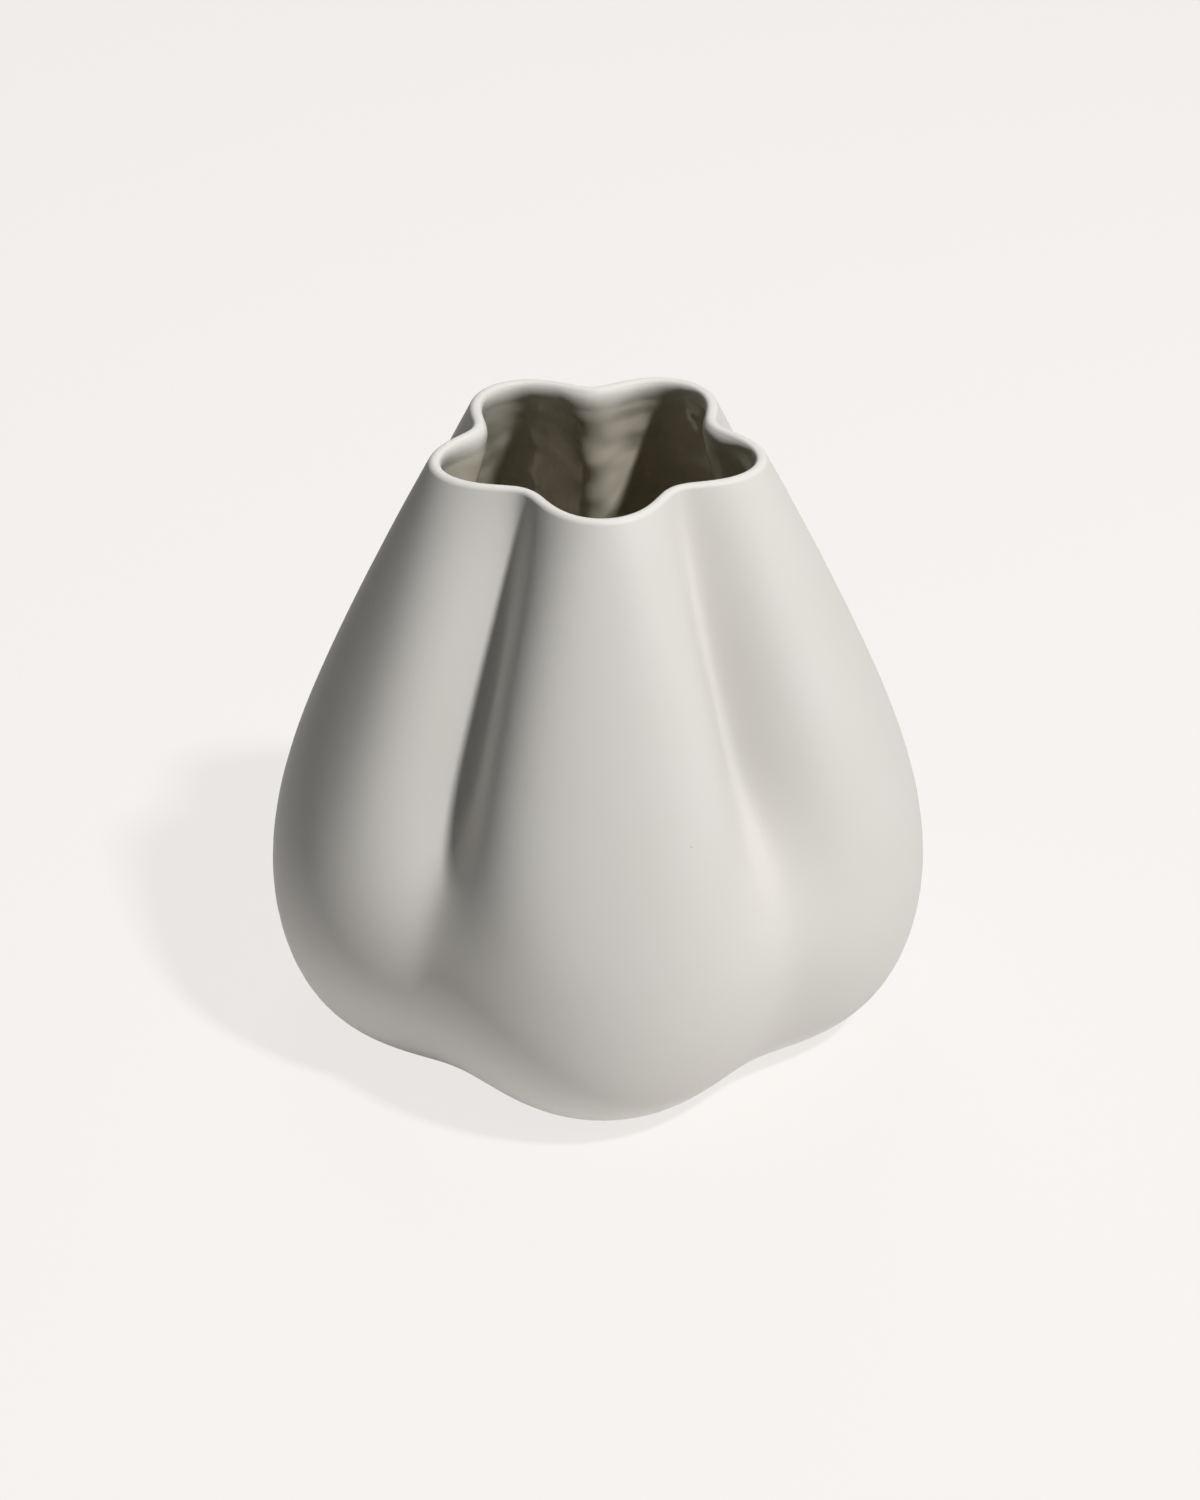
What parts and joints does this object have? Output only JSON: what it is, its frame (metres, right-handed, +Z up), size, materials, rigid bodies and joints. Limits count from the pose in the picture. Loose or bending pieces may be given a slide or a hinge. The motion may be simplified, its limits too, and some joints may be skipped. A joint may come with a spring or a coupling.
{
  "type": "pillow vase",
  "caption": "Ceramic pillow vase with puffed lobes, deep grooves between them, a lobed mouth with a rounded lip and a glazed inside; it stands on a flat foot.",
  "frame": {"origin": "middle of the foot, on the surface that the vase stands on", "axes": "+Z up along the vase's axis; a lobe faces the front, along -Y; +X to the right"},
  "size_m": [0.213, 0.209, 0.2],
  "materials": {
    "matte_ceramic": "satin",
    "clear_glaze": "gloss"
  },
  "bodies": {
    "root": {"ceramic_body": "matte_ceramic", "inner_glaze": "clear_glaze"}
  },
  "joints": []
}
